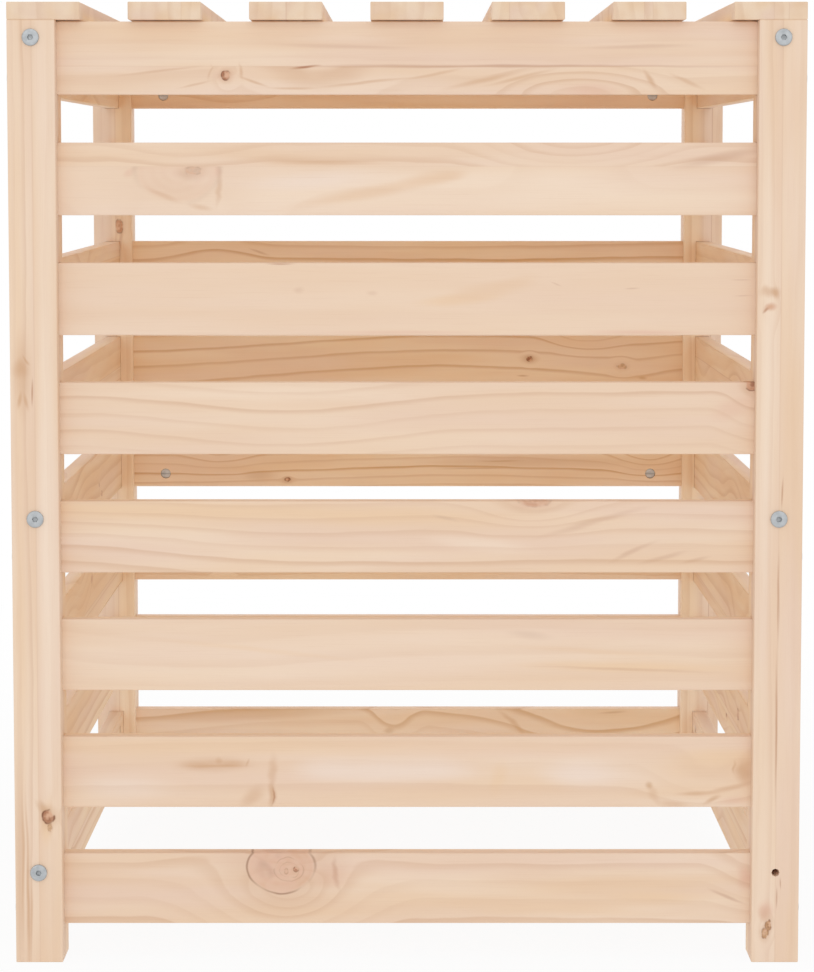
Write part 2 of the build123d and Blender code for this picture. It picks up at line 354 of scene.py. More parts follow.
def pine(name, node, axes, figure, seed):
    """A board sawn from a log whose rings run along the grain.

    Ring number = (distance from the pith, plus swells, bends round knots and slow waves) / ring width.
    Each ring darkens slowly from earlywood to latewood and ends in a sharper edge.
    """
    material, root = new_material(name)
    low, high = (np.array(corner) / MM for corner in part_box(node))
    middle, half = (low + high) / 2, (high - low) / 2
    in_bin = in_millimetres(root)
    centred = root.node("VectorMath", {"operation": "SUBTRACT"}, {0: in_bin, 1: tuple(middle)})
    parts = split(centred)
    along, across, depth = (parts[axis] for axis in axes)

    # Glued strips differ in their pith and ring width, and in the noise that they read
    glued = glued_strips(figure, across, seed)
    place = root.node("CombineXYZ", sockets={0: along, 1: across, 2: depth})
    sampled = root.node("CombineXYZ", sockets={0: along + glued.shift, 1: across, 2: depth})

    # Short waves ruffle the lines, and slow ones bend the whole log
    ruffled = moved(place, cloud(sampled, RUFFLE)[1], RUFFLE_REACH)
    grain = moved(ruffled, cloud(sampled, WAVE, 1.0)[1], WAVE_REACH)
    _, grain_across, grain_depth = split(grain)
    off_across = grain_across - glued.pith_across
    off_depth = grain_depth - glued.pith_depth
    rings = (off_across * off_across + off_depth * off_depth) ** 0.5
    for swell in figure.swells:
        _, reach = local(grain, *swell[:4], swell.turn)
        rings = smooth(reach, 1.0, 0.0) * swell.rise + rings
    rings, cores = bend_round_knots(rings, figure, place, sampled, across)

    # Each ring has a strength of its own, and all are fainter on the sawn ends
    half_along = float(half[axes[0]])
    end = smooth(abs(along), *(half_along - depth_in for depth_in in END_DEPTHS))
    faint = 1.0 - end * END_FADE
    turns = rings * glued.per_ring
    phase = turns % 1.0
    number = root.math("FLOOR", turns) + glued.shift
    strength = root.node("TexWhiteNoise", {"noise_dimensions": "1D"}, {"W": number}) * 0.8 + 0.2
    profile = smooth(phase, glued.start, RING_EDGE) * smooth(phase, 1.0, RING_EDGE)
    late = profile * strength * glued.contrast * faint

    # Faces that look into the bin are painted brighter and warmer, with golden ring lines, as painted light
    # for the light inside the bin; near the ground they are painted brighter still and less warm
    x, y, z = split(in_bin)
    inside = smooth(larger(abs(x), abs(y)), *INSIDE_REACH) * smooth(z, *INSIDE_HEIGHT)
    painted_inside_light = blend(smooth(z, *LOW_HEIGHT), PAINTED_INSIDE_WARMTH, PAINTED_INSIDE_LOW)
    line_colour = blend(inside, LATEWOOD, GOLDEN)

    # Colour: mottled ground, streaks, ring lines, fibres, knots and glue lines
    warm, pink, worn = split(cloud(sampled, PATCH)[1])
    fibre = cloud(sampled, FIBRE)[0]
    even = 0.5 * (1 - figure.mottle)
    peachy = smooth(warm, *PEACH_NOISE) * figure.mottle + even
    rosy = smooth(pink, *ROSE_NOISE) * (0.7 * figure.mottle) + 0.3 * even
    honeyed = smooth(pink, *HONEY_NOISE) * (0.5 * figure.mottle)
    colour = blend(peachy, CREAM, PEACH)
    colour = blend(rosy, colour, ROSE)
    colour = blend(honeyed, colour, HONEY)
    for streak in figure.streaks:
        _, reach = local(ruffled, *streak[:5])
        colour = blend(smooth(reach, *STREAK_REACH) * streak.share, colour, streak.colour)
    colour = blend(late * (worn * 1.2 + 0.4), colour, line_colour)
    colour = blend(smooth(fibre, *FIBRE_NOISE) * 0.12, colour, LATEWOOD)
    colour = paint_knots(colour, cores)
    if glued.line is not None:
        colour = blend(glued.line * worn * faint, colour, GLUE)
    colour = blend(end, colour, END_GRAIN, "MULTIPLY")
    # Painted light: faces inside the bin are made brighter and warmer
    colour = blend(inside, colour, painted_inside_light, "MULTIPLY")

    rough = ROUGHNESS + (late * LATE_ROUGHNESS + fibre * FIBRE_ROUGHNESS)
    relief = {
        "Strength": RELIEF_STRENGTH,
        "Distance": RELIEF_HEIGHT * MM,
        "Height": fibre - late * LATE_RELIEF,
    }
    bump = root.node("Bump", sockets=relief)
    surface(root, {"Base Color": colour, "Roughness": rough, "Normal": bump, "IOR": WOOD_IOR})
    return material


# The boards that show best from the front have figures of their own. Places are along the grain and across
# it from a board's middle, lengths and widths are from a mark's middle to its edge, and turns in degrees.
FIGURES = {
    "front_rail_1": Figure(
        strips=(Strip(WHOLE, -34.0, 44.0, 8.0, 0.46), Strip(-6.5, 150.0, 30.0, 12.0, 0.12, 0.5, 0.2)),
        swells=(Swell(144.0, -30.0, 95.0, 34.0, -26.0), Swell(-80.0, -18.0, 90.0, 34.0, 9.0)),
        knots=(Knot(-144.5, -13.6, 3.6, 0.95, 1.0, 1.0, MARK),),
        streaks=(
            Streak(-82.0, -6.8, 14.0, 1.7, 7.0, 0.9),
            Streak(80.0, -6.4, 230.0, 2.0, 0.0, 0.45),
            Streak(146.0, -26.0, 34.0, 9.0, 0.0, 0.5, BLUSH),
            Streak(-50.0, 9.0, 70.0, 2.5, -1.0, 0.2),
            Streak(185.0, 9.0, 60.0, 2.5, 1.0, 0.2),
            Streak(-145.0, -14.0, 13.0, 9.0, 0.0, 0.3, BLUSH),
            Streak(-157.0, -11.5, 9.0, 1.6, 80.0, 0.3, TAN),
            Streak(-131.5, -11.0, 9.0, 2.0, -70.0, 0.4, TAN),
            Streak(-121.0, -19.0, 16.0, 1.7, -21.0, 0.45, TAN),
            Streak(-91.0, -24.2, 24.0, 1.5, 0.0, 0.4, TAN),
            Streak(-32.0, -19.5, 50.0, 1.8, 6.0, 0.4, TAN),
            Streak(-199.0, -10.5, 44.0, 1.5, 7.0, 0.35, TAN),
            Streak(-169.0, -21.0, 18.0, 1.5, 12.0, 0.35, TAN),
            Streak(21.0, -13.0, 33.0, 2.0, 11.0, 0.35, TAN),
            Streak(62.0, -17.5, 40.0, 3.2, 14.0, 0.35, TAN),
            Streak(90.0, -15.5, 38.0, 2.2, 14.0, 0.35, TAN),
            Streak(194.0, -17.0, 12.0, 3.2, -54.0, 0.5, TAN),
            Streak(224.0, -18.5, 20.0, 2.6, -25.0, 0.35, TAN),
        ),
        mottle=0.75,
    ),
    "front_rail_2": Figure(
        strips=(Strip(WHOLE, -75.0, 50.0, 15.0, 0.07), Strip(10.0, 70.0, 34.0, 10.0, 0.34, 0.4, 0.12)),
        swells=(Swell(132.0, 34.0, 112.0, 60.0, -36.0), Swell(-175.0, 30.0, 80.0, 30.0, -9.0)),
        knots=(
            Knot(-184.0, 5.0, 25.0, 1.36, 0.22, 0.16, BLUSH, 2.2),
            Knot(-171.0, 6.5, 3.2, 2.2, 0.5, 0.3, ASH),
        ),
        streaks=(
            Streak(0.0, -10.0, 500.0, 30.0, 0.0, 0.55, PALE),
            Streak(-222.0, 5.0, 7.0, 4.0, 30.0, 0.4, BLUSH),
            Streak(-151.0, 6.0, 5.0, 6.0, 0.0, 0.4, BLUSH),
            Streak(-176.0, 3.0, 16.0, 6.0, -10.0, 0.3, ASH),
            Streak(-75.0, -1.0, 72.0, 11.0, 5.0, 0.6, MILK),
            Streak(-30.0, -11.0, 84.0, 7.5, 10.4, 0.8, PEACH),
            Streak(22.0, 0.5, 36.0, 9.0, 9.0, 0.8, PEACH),
            Streak(36.0, 2.5, 18.0, 5.5, 6.0, 0.7, PEACH),
            Streak(-150.5, -8.0, 19.0, 3.4, 85.0, 0.35, TAN),
            Streak(-165.0, -23.0, 14.0, 3.4, -8.0, 0.3, TAN),
            Streak(-195.0, -13.0, 20.0, 3.2, -24.0, 0.26, TAN),
            Streak(250.0, 17.0, 46.0, 6.0, 12.0, 0.3),
            Streak(-116.0, 19.0, 98.0, 11.0, -5.0, 0.7, PEACH),
            Streak(-68.0, 12.6, 64.0, 3.0, -1.0, 0.35, TAN),
        ),
        mottle=0.55,
    ),
    "front_rail_3": Figure(
        strips=(Strip(WHOLE, -140.0, 70.0, 22.0, 0.07),),
        streaks=(
            Streak(-102.0, 28.5, 16.0, 1.3, 0.0, 0.5),
            Streak(-5.0, -27.0, 90.0, 2.6, 0.0, 0.35, BLUSH),
            Streak(190.0, -26.5, 62.0, 3.2, 0.0, 0.5, BLUSH),
            Streak(-85.0, 7.0, 6.0, 3.5, 0.0, 0.15),
            Streak(-28.0, 5.0, 6.0, 3.0, 0.0, 0.15),
            Streak(42.0, 0.0, 46.0, 6.0, 6.0, 0.8, HONEY),
            Streak(64.0, 6.0, 54.0, 10.0, 12.0, 0.8, PEACH),
            Streak(86.0, 13.0, 24.0, 7.0, 16.0, 0.5, PEACH),
            Streak(181.0, 8.0, 9.0, 1.0, 0.0, 0.25),
            Streak(268.0, 16.0, 12.0, 0.9, 0.0, 0.22),
            Streak(270.0, 3.0, 10.0, 0.9, 0.0, 0.22),
            Streak(118.0, 12.0, 7.0, 1.0, -20.0, 0.2),
        ),
        mottle=0.3,
    ),
    "front_rail_4": Figure(
        strips=(Strip(WHOLE, -190.0, 40.0, 13.5, 0.38, 0.62),),
        swells=(Swell(-103.0, 0.0, 170.0, 120.0, 12.0), Swell(285.0, 0.0, 46.0, 60.0, 15.0)),
        knots=(Knot(277.5, 27.0, 4.4, 1.3, 0.8, 0.8),),
        streaks=(
            Streak(262.0, 8.0, 26.0, 12.0, 20.0, 0.35, BLUSH),
            Streak(-120.0, 20.0, 180.0, 10.0, 0.0, 0.5, PALE),
        ),
        mottle=0.45,
    ),
    "front_rail_5": Figure(
        strips=(Strip(WHOLE, -170.0, 50.0, 11.5, 0.4, 0.5),),
        swells=(Swell(-300.0, -12.0, 260.0, 60.0, -14.0), Swell(103.0, 30.0, 90.0, 52.0, 13.0)),
        knots=(Knot(103.0, 30.0, 5.5, 2.4, 0.5, 0.2),),
        streaks=(
            Streak(-120.0, 20.0, 380.0, 12.0, -1.5, 0.8, HONEY),
            Streak(-230.0, -10.0, 120.0, 16.0, -3.0, 0.5, ROSE),
            Streak(100.0, 26.0, 20.0, 5.0, 0.0, 0.5, BLUSH),
            Streak(30.0, 15.0, 14.0, 2.4, -14.0, 0.3, ASH),
            Streak(183.0, -12.0, 28.0, 3.0, 24.0, 0.24),
            Streak(207.0, -17.0, 26.0, 3.0, 16.0, 0.22),
            Streak(232.0, -19.0, 16.0, 2.4, 14.0, 0.2),
            Streak(150.0, 12.0, 60.0, 4.0, 16.0, 0.22),
            Streak(60.0, -6.0, 60.0, 9.0, -6.0, 0.5, PALE),
        ),
        mottle=0.7,
    ),
    "front_rail_6": Figure(
        strips=(Strip(WHOLE, 150.0, 70.0, 19.0, 0.13),),
        swells=(Swell(-160.0, 10.0, 150.0, 60.0, -9.0),),
        streaks=(
            Streak(-60.0, 0.0, 330.0, 40.0, 0.0, 0.4, PALE),
            Streak(100.0, 16.0, 26.0, 5.0, -6.0, 0.25, ASH),
            Streak(175.0, -10.0, 110.0, 6.0, -1.0, 0.8, HONEY),
            Streak(-120.0, 4.0, 130.0, 3.0, -6.0, 0.3, HONEY),
            Streak(180.0, -12.0, 100.0, 1.8, -2.0, 0.2),
            Streak(150.0, 3.0, 90.0, 3.0, -4.0, 0.3, HONEY),
        ),
        mottle=0.55,
    ),
    "front_rail_7": Figure(
        strips=(Strip(WHOLE, -110.0, 60.0, 15.0, 0.2),),
        swells=(Swell(245.0, -5.0, 75.0, 40.0, 20.0, 10.0),),
        streaks=(
            Streak(-150.0, 22.0, 480.0, 12.0, 0.0, 0.5, HONEY),
            Streak(-230.0, -12.0, 55.0, 14.0, 0.0, 0.65, MILK),
            Streak(-20.0, 1.0, 98.0, 16.0, 0.0, 0.8, MILK),
            Streak(-66.0, 2.0, 36.0, 13.0, 0.0, 0.6, MILK),
            Streak(26.0, 2.0, 40.0, 13.0, 0.0, 0.6, MILK),
            Streak(140.0, -1.0, 44.0, 17.0, 0.0, 0.85, MILK),
            Streak(165.0, -3.0, 64.0, 22.0, 0.0, 0.4, MILK),
            Streak(74.0, -6.0, 20.0, 9.0, 75.0, 0.5, HONEY),
            Streak(-156.0, 4.8, 38.0, 1.8, 1.0, 0.35, TAN),
            Streak(-130.0, 8.0, 5.0, 1.8, 80.0, 0.35, TAN),
            Streak(-157.0, 6.0, 42.0, 8.5, 2.0, 0.36, TAN),
            Streak(-172.0, 5.0, 16.0, 4.6, 0.0, 0.22, TAN),
            Streak(-142.0, 6.5, 16.0, 4.8, 0.0, 0.25, TAN),
            Streak(-155.0, 9.0, 4.0, 4.0, 0.0, 0.3, TAN),
            Streak(-109.0, 0.0, 20.0, 5.5, 88.0, 0.35, TAN),
            Streak(-110.0, -19.0, 14.0, 4.6, 86.0, 0.55, TAN),
            Streak(-109.0, -20.0, 11.0, 1.3, 86.0, 0.6),
            Streak(-126.0, -20.0, 16.0, 9.0, 40.0, 0.35, TAN),
            Streak(255.0, 12.0, 60.0, 12.0, 0.0, 0.7, HONEY),
            Streak(199.0, -18.0, 14.0, 5.0, -60.0, 0.25, TAN),
            Streak(216.0, -27.0, 20.0, 4.5, -4.0, 0.3, TAN),
            Streak(234.0, -17.6, 24.0, 2.8, 2.0, 0.42, TAN),
            Streak(248.0, -22.5, 9.0, 3.4, 28.0, 0.5, TAN),
            Streak(262.0, -13.0, 24.0, 3.6, 15.0, 0.35, TAN),
            Streak(273.0, 0.0, 15.0, 10.0, 90.0, 0.5, TAN),
            Streak(195.0, -11.0, 4.5, 4.5, 0.0, 0.4, OCHRE),
            Streak(265.5, 4.0, 8.0, 1.8, 88.0, 0.35, TAN),
            Streak(265.0, -24.0, 16.0, 5.0, 0.0, 0.4, BLUSH),
        ),
        mottle=0.6,
    ),
    "front_rail_8": Figure(
        strips=(Strip(WHOLE, -85.0, 50.0, 12.0, 0.42),),
        swells=(Swell(-103.0, 16.0, 85.0, 50.0, 17.0), Swell(290.0, 10.0, 50.0, 50.0, 14.0)),
        knots=(
            Knot(-102.3, 17.4, 21.5, 1.28, 0.65, 0.6, BLUSH, 0.45),
            Knot(-96.5, 15.5, 9.5, 1.25, 0.0, 0.24, BLUSH, 0.3),
            Knot(-96.0, 15.0, 6.2, 1.3, 0.0, 0.22, BLUSH, 0.3),
            Knot(-90.5, 15.6, 1.9, 1.0, 0.7, 0.7),
            Knot(-98.5, 14.0, 2.2, 0.7, 0.25, 0.35),
        ),
        streaks=(
            Streak(-57.0, 12.0, 18.0, 3.4, -80.0, 0.45),
            Streak(203.0, -7.0, 56.0, 7.0, 0.0, 0.6, HONEY),
            Streak(-60.0, 10.0, 24.0, 14.0, 0.0, 0.4, BLUSH),
            Streak(276.0, 9.0, 9.0, 14.0, 0.0, 0.6, BLUSH),
            Streak(262.0, -7.0, 20.0, 2.2, -24.0, 0.35),
        ),
        mottle=0.8,
    ),
    "post_front_left": Figure(
        strips=(Strip(WHOLE, -60.0, 25.0, 6.5, 0.28), Strip(0.5, 120.0, 30.0, 12.0, 0.16, 0.4, 0.25)),
        knots=(
            Knot(-260.5, 8.2, 4.5, 1.2, 0.95, 1.0, MARK, 1.1),
            Knot(-269.5, 9.4, 1.7, 1.8, 0.5, 0.4, OCHRE),
        ),
        streaks=(
            Streak(0.0, -12.0, 400.0, 7.0, 0.0, 0.5, HONEY),
            Streak(0.0, 10.0, 500.0, 11.0, 0.0, 0.7, PALE),
            Streak(98.0, -9.0, 46.0, 10.0, 0.0, 0.36, TAN),
            Streak(109.6, -6.0, 6.0, 1.8, -39.0, 0.5, TAN),
            Streak(102.0, -10.5, 11.0, 9.5, 0.0, 0.42, TAN),
            Streak(77.0, -11.5, 9.0, 2.8, 12.0, 0.45, TAN),
            Streak(77.0, -6.0, 9.0, 2.4, -12.0, 0.45, TAN),
            Streak(84.0, -1.2, 14.0, 1.1, 0.0, 0.6),
            Streak(-266.0, 7.0, 26.0, 7.0, 4.0, 0.9, HONEY),
            Streak(-254.0, 4.0, 11.0, 5.0, -40.0, 0.4, OCHRE),
            Streak(-292.0, -12.5, 92.0, 1.8, 0.5, 0.45, TAN),
            Streak(-300.0, -9.0, 85.0, 1.7, -0.5, 0.45, TAN),
            Streak(-340.0, -6.5, 46.0, 1.5, 1.0, 0.45, TAN),
            Streak(-345.0, -9.0, 60.0, 2.0, 0.0, 0.4, TAN),
            Streak(-300.0, -15.0, 150.0, 5.0, 0.0, 0.3, TAN),
        ),
        mottle=0.7,
    ),
    "post_front_right": Figure(
        strips=(Strip(WHOLE, -110.0, 30.0, 9.0, 0.24), Strip(0.0, 150.0, 20.0, 16.0, 0.1, 0.4, 0.25)),
        knots=(
            Knot(152.0, -9.0, 3.6, 1.7, 0.0, 0.0),
            Knot(-350.0, -5.4, 2.3, 1.8, 0.9, 0.7, OCHRE),
            Knot(-356.5, -8.0, 2.6, 1.6, 0.8, 0.6, OCHRE),
        ),
        streaks=(
            Streak(100.0, -10.0, 300.0, 8.0, 0.0, 0.6, PALE),
            Streak(165.0, -4.6, 7.0, 5.5, 0.0, 0.6, TAN),
            Streak(164.0, -11.0, 7.0, 9.0, 0.0, 0.45, TAN),
            Streak(4.0, 2.6, 18.0, 1.1, 2.0, 0.55),
            Streak(-82.0, 0.3, 46.0, 1.0, 0.0, 0.45),
            Streak(-340.0, -8.0, 9.0, 7.0, 0.0, 0.4, TAN),
            Streak(151.5, -9.0, 8.5, 4.2, 59.0, 0.9, KNOT_LIGHT),
            Streak(148.5, -12.5, 4.0, 1.8, 59.0, 0.6),
            Streak(-338.0, -7.0, 12.0, 9.0, 0.0, 0.6, BLUSH),
            Streak(-190.0, -0.8, 80.0, 1.5, 0.0, 0.55),
            Streak(-317.0, 4.0, 7.0, 0.9, 0.0, 0.5),
            Streak(-329.0, 1.0, 12.0, 0.9, 0.0, 0.5),
        ),
        mottle=0.7,
    ),
    "post_back_left": Figure(
        strips=(Strip(WHOLE, -90.0, 30.0, 8.0, 0.3), Strip(3.0, 110.0, 30.0, 10.0, 0.25)),
        knots=(Knot(203.0, 6.5, 4.0, 1.6, 0.8, 0.6),),
        streaks=(
            # This pale streak over the whole post is painted light: it brightens the back post
            Streak(0.0, 0.0, 900.0, 60.0, 0.0, 0.6, PALE),
            Streak(180.0, 7.0, 30.0, 3.0, 8.0, 0.4),
        ),
    ),
    "post_back_right": Figure(
        strips=(Strip(WHOLE, -120.0, 30.0, 11.0, 0.25), Strip(8.5, 110.0, 30.0, 12.0, 0.2, 0.4, 0.9)),
        streaks=(
            # This pale streak over the whole post is painted light: it brightens the back post
            Streak(0.0, 0.0, 900.0, 60.0, 0.0, 0.6, PALE),
            Streak(290.0, -5.0, 120.0, 12.0, 0.0, 0.2, TAN),
        ),
    ),
    "back_rail_3": Figure(
        strips=(Strip(WHOLE, -150.0, 40.0, 13.0, 0.7, 0.6),),
        swells=(Swell(-200.0, 20.0, 70.0, 70.0, -9.0),),
        streaks=(Streak(-150.0, 18.7, 14.0, 2.0, -20.0, 0.4, OCHRE),),
    ),
    "back_rail_4": Figure(
        strips=(Strip(WHOLE, -150.0, 40.0, 15.5, 0.75, 0.7),),
        swells=(
            Swell(30.0, 0.0, 330.0, 220.0, -18.0),
            Swell(184.0, 34.0, 58.0, 34.0, 24.0),
            Swell(292.0, 0.0, 70.0, 60.0, -12.0),
        ),
        knots=(
            Knot(124.0, 5.4, 2.4, 1.2, 1.0, 1.0, MARK),
            Knot(218.0, -2.5, 3.0, 1.5, 0.6, 0.3, OCHRE),
        ),
        streaks=(
            Streak(124.0, 5.4, 12.0, 7.0, 0.0, 0.4, OCHRE),
            Streak(118.0, -12.0, 9.0, 1.4, 0.0, 0.5, OCHRE),
            Streak(165.0, 26.0, 46.0, 14.0, -12.0, 0.4, HONEY),
            Streak(240.0, -14.0, 6.0, 2.6, 0.0, 0.45, OCHRE),
        ),
    ),
    "back_rail_5": Figure(
        strips=(Strip(WHOLE, -160.0, 40.0, 8.5, 0.75, 0.6),),
        swells=(
            Swell(-190.0, 10.0, 55.0, 44.0, 8.0),
            Swell(240.0, 6.0, 50.0, 40.0, 14.0),
            Swell(30.0, 0.0, 300.0, 200.0, -6.0),
        ),
        knots=(Knot(-123.0, -22.0, 1.8, 1.6, 1.0, 1.0, MARK),),
        streaks=(
            Streak(110.0, -4.0, 150.0, 9.0, 0.0, 0.3, OCHRE),
            Streak(95.0, -3.0, 34.0, 1.4, 0.0, 0.4, OCHRE),
            Streak(70.0, -10.5, 60.0, 1.4, 1.0, 0.4, OCHRE),
            Streak(-150.0, -18.0, 24.0, 8.0, 0.0, 0.3, OCHRE),
        ),
    ),
    "back_rail_8": Figure(
        strips=(Strip(WHOLE, -120.0, 50.0, 15.0, 0.7, 0.5),),
        swells=(
            Swell(-65.0, 20.0, 240.0, 100.0, -15.0),
            Swell(-19.0, 12.0, 38.0, 44.0, 18.0),
            Swell(200.0, 10.0, 140.0, 60.0, 24.0),
        ),
        streaks=(
            Streak(-150.0, 24.0, 150.0, 9.0, 3.0, 0.35, GOLDEN),
            Streak(-20.0, 6.0, 7.0, 5.0, 0.0, 0.35, OCHRE),
            Streak(108.0, 14.0, 26.0, 4.0, -44.0, 0.4, GOLDEN),
            Streak(212.0, 26.0, 20.0, 2.0, 4.0, 0.4, OCHRE),
        ),
    ),
}


def sawn_figure(seed, half_width, kind):
    """A drawn figure for any other board: up to three strips and two knots, and swells except in posts."""
    draw = np.random.default_rng(seed)
    count = int(draw.integers(1, 4))
    edges = np.sort(draw.uniform(-0.6, 0.6, count - 1)) * half_width
    strips = []
    for low in (WHOLE, *edges.tolist()):
        away = draw.uniform(60.0, 170.0)
        behind = draw.uniform(20.0, 60.0)
        side = draw.choice((-1.0, 1.0), 2)
        ring = draw.uniform(9.0, 15.0)
        contrast = draw.uniform(0.2, 0.4)
        # The pith of the lid's boards is nearly level with them, so the rings stand upright in their ends
        level = 0.3 if kind == "lid" else 1.0
        strips.append(Strip(low, side[0] * away, side[1] * behind * level, ring, contrast))
    swells = tuple(
        Swell(
            along=draw.uniform(-240, 240),
            across=draw.uniform(-20, 20),
            length=draw.uniform(60, 130),
            width=60.0,
            rise=draw.uniform(-22, 22),
        )
        for _ in range(0 if kind == "post" else 2)
    )
    knots = tuple(
        Knot(
            along=draw.uniform(-250, 250),
            across=draw.uniform(-0.8, 0.8) * half_width,
            radius=draw.uniform(1.6, 5.5),
            stretch=draw.uniform(1.0, 1.8),
            fill=draw.uniform(0.4, 0.9),
            rim=draw.uniform(0.3, 0.8),
        )
        for _ in range(int(draw.choice((0, 1, 2), p=(0.5, 0.35, 0.15))))
    )
    return Figure(tuple(strips), swells, knots)


def finish_wood():
    """Gives every post, rail, lid board and batten its own pine, with axes along, across and through it."""
    seed = 0
    for name, node in sorted(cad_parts.items()):
        group = name.split("_")
        half_width = BOARD_HALF
        if "rail" in group and group[-1].isdigit():
            axes = (0, 2, 1) if group[0] in ("front", "back") else (1, 2, 0)
        elif group[0] == "post":
            axes = (2, 0, 1)
            half_width = POST_HALF
        elif group[:2] == ["lid", "board"]:
            axes = (1, 0, 2)
        elif group[:2] == ["lid", "batten"]:
            axes = (0, 1, 2)
        else:
            continue
        seed += 1
        figure = FIGURES.get(name) or sawn_figure(seed, half_width, group[0])
        node.data.materials.clear()
        node.data.materials.append(pine(f"pine_{name}", name, axes, figure, seed))


# Fasteners

# Edges that turn by more than these degrees stay sharp
SHARP_EDGE = 32.0
BOLT_FLATS = 72
SCREW_FLATS = 48
CROSS_CORE = 0.36
CROSS_POWER = 5
# Lengths of the patches in the zinc, and the height of its relief
SPANGLE = (1.6, 1.6, 1.6)
ZINC_PATCH = (5.0, 5.0, 5.0)
ZINC_RELIEF = 0.2
# From tip to recess: radius, height over the seat of the head, and share of the recess's outline
BOLT_ROWS = (
    (0.0, -80.0, 0), (2.3, -80.0, 0), (3.0, -79.2, 0), (3.0, -0.02, 0), (6.4, 0.0, 0), (6.75, 0.25, 0),
    (6.8, 0.6, 0), (6.8, 1.1, 0), (6.7, 1.5, 0), (6.4, 1.8, 0), (5.9, 1.96, 0), (5.3, 2.0, 0),
    (3.4, 2.0, 0), (2.62, 2.0, 1), (2.32, 1.75, 1), (2.31, -0.7, 1), (1.4, -0.95, 1), (0.0, -1.0, 0),
)
# The same for the countersunk screw, over the face that it lies flush with
SCREW_ROWS = (
    (0.0, -25.0, 0), (0.3, -25.0, 0), (2.0, -22.0, 0), (2.0, -2.0, 0), (3.8, -0.2, 0), (4.0, -0.05, 0),
    (3.9, 0.0, 0), (2.9, 0.0, 0), (2.3, 0.0, 1), (1.7, -1.0, 1), (1.1, -1.8, 1), (0.0, -2.1, 0),
)


def lathe(rows, recess, flats):
    """Closed surface round Z from rows of (radius, height, share).

    Point at angle a on a row: radius * (1 - share + share * recess(a)) out from Z, at the row's height.
    The first and last rows are poles on the axis.
    """
    radius, height, share = np.array(rows).T
    angle = np.linspace(0, 2 * pi, flats, endpoint=False)
    reach = radius[1:-1, None] * (1 - share[1:-1, None] + share[1:-1, None] * recess(angle)[None])
    level = np.repeat(height[1:-1, None], flats, 1)
    rings = np.stack([reach * np.cos(angle), reach * np.sin(angle), level], -1)
    points = np.concatenate([[[0, 0, height[0]]], rings.reshape(-1, 3), [[0, 0, height[-1]]]])
    index = 1 + np.arange(len(rings) * flats).reshape(-1, flats)
    after = np.roll(index, -1, 1)
    quads = np.stack([index[:-1], after[:-1], after[1:], index[1:]], -1).reshape(-1, 4)
    foot = np.stack([np.zeros(flats, int), after[0], index[0]], -1)
    top = np.stack([np.full(flats, len(points) - 1), index[-1], after[-1]], -1)
    return points, quads.tolist() + foot.tolist() + top.tolist()


def hexagon(angle):
    """Radius at each angle of a hexagon with corners at 1: half its width / cosine from a flat's middle."""
    return np.cos(pi / 6) / np.cos((angle % (pi / 3)) - pi / 6)


def cross(angle):
    """Radius at each angle of a cross recess: a core, and wings up to 1 by a power of |cos(2 * angle)|."""
    return CROSS_CORE + (1 - CROSS_CORE) * np.abs(np.cos(2 * angle)) ** CROSS_POWER


def barrel():
    """A barrel nut along Y with a cross hole along X, as a ring of sections round the hole.

    At angle a round X the section goes from the hole's wall out to the nearest of the end faces, the eased
    rims and the round side, and its half length along X is that of the round at that height. Between the
    slot's edges the end face lies deeper.
    """
    hole, radius, half_length, ease = 3.1, 5.0, 5.5, 0.4
    slot_depth, slot_half = 1.2, 0.7
    slot_edge = atan2(slot_half, half_length)
    inside = np.array([-slot_edge, -slot_edge / 2, 0.0, slot_edge / 2, slot_edge])
    outside = np.linspace(slot_edge, 2 * pi - slot_edge, 92)
    angle = np.concatenate([outside, inside])
    in_slot = np.arange(len(angle)) >= len(outside)
    c, s = np.abs(np.cos(angle)) + 1e-9, np.abs(np.sin(angle)) + 1e-9
    limit = np.minimum(np.minimum(half_length / c, radius / s), (half_length + radius - ease) / (c + s))
    limit = np.where(in_slot, (half_length - slot_depth) / c, limit)
    rise = np.sin(np.linspace(0, pi / 2, 12))
    out = hole + (limit[:, None] - hole) * rise
    y, z = out * np.cos(angle)[:, None], out * np.sin(angle)[:, None]
    round_here = radius - np.maximum(0, np.abs(y) - (half_length - ease))
    x = np.sqrt(np.maximum(0, round_here ** 2 - z ** 2))
    loop = np.stack([
        np.concatenate([x, -x[:, ::-1]], 1),
        np.concatenate([y, y[:, ::-1]], 1),
        np.concatenate([z, z[:, ::-1]], 1),
    ], -1)
    count, steps = loop.shape[:2]
    index = np.arange(count * steps).reshape(count, steps)
    beside, onward = np.roll(index, -1, 0), np.roll(index, -1, 1)
    quads = np.stack([index, beside, np.roll(beside, -1, 1), onward], -1).reshape(-1, 4)
    return loop.reshape(-1, 3), quads.tolist()


def turned(points, wall):
    """Points of the front wall carried to another wall by quarter turns about Z."""
    for _ in range(QUARTER_TURNS[wall]):
        points = np.stack([-points[..., 1], points[..., 0], points[..., 2]], -1)
    return points


def fasteners(name, shape, places, body, material):
    """One piece of a shape repeated at places, each a function from the shape's points to the bin's."""
    points, faces = shape
    count = len(points)
    everything = np.concatenate([place(points) for place in places]) * MM
    starts = range(0, count * len(places), count)
    shifted = [[corner + start for corner in face] for start in starts for face in faces]
    mesh = bpy.data.meshes.new(name)
    mesh.from_pydata(everything.tolist(), [], shifted)
    mesh.polygons.foreach_set("use_smooth", np.ones(len(shifted), bool))
    mesh.set_sharp_from_angle(angle=radians(SHARP_EDGE))
    mesh.materials.append(material)
    piece = bpy.data.objects.new(name, mesh)
    bpy.context.scene.collection.objects.link(piece)
    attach(piece, body)
    return piece


def rail_height(number):
    """Height of a rail's middle, counted from the top."""
    return TOP_RAIL_HEIGHT - (number - 1) * RAIL_PITCH


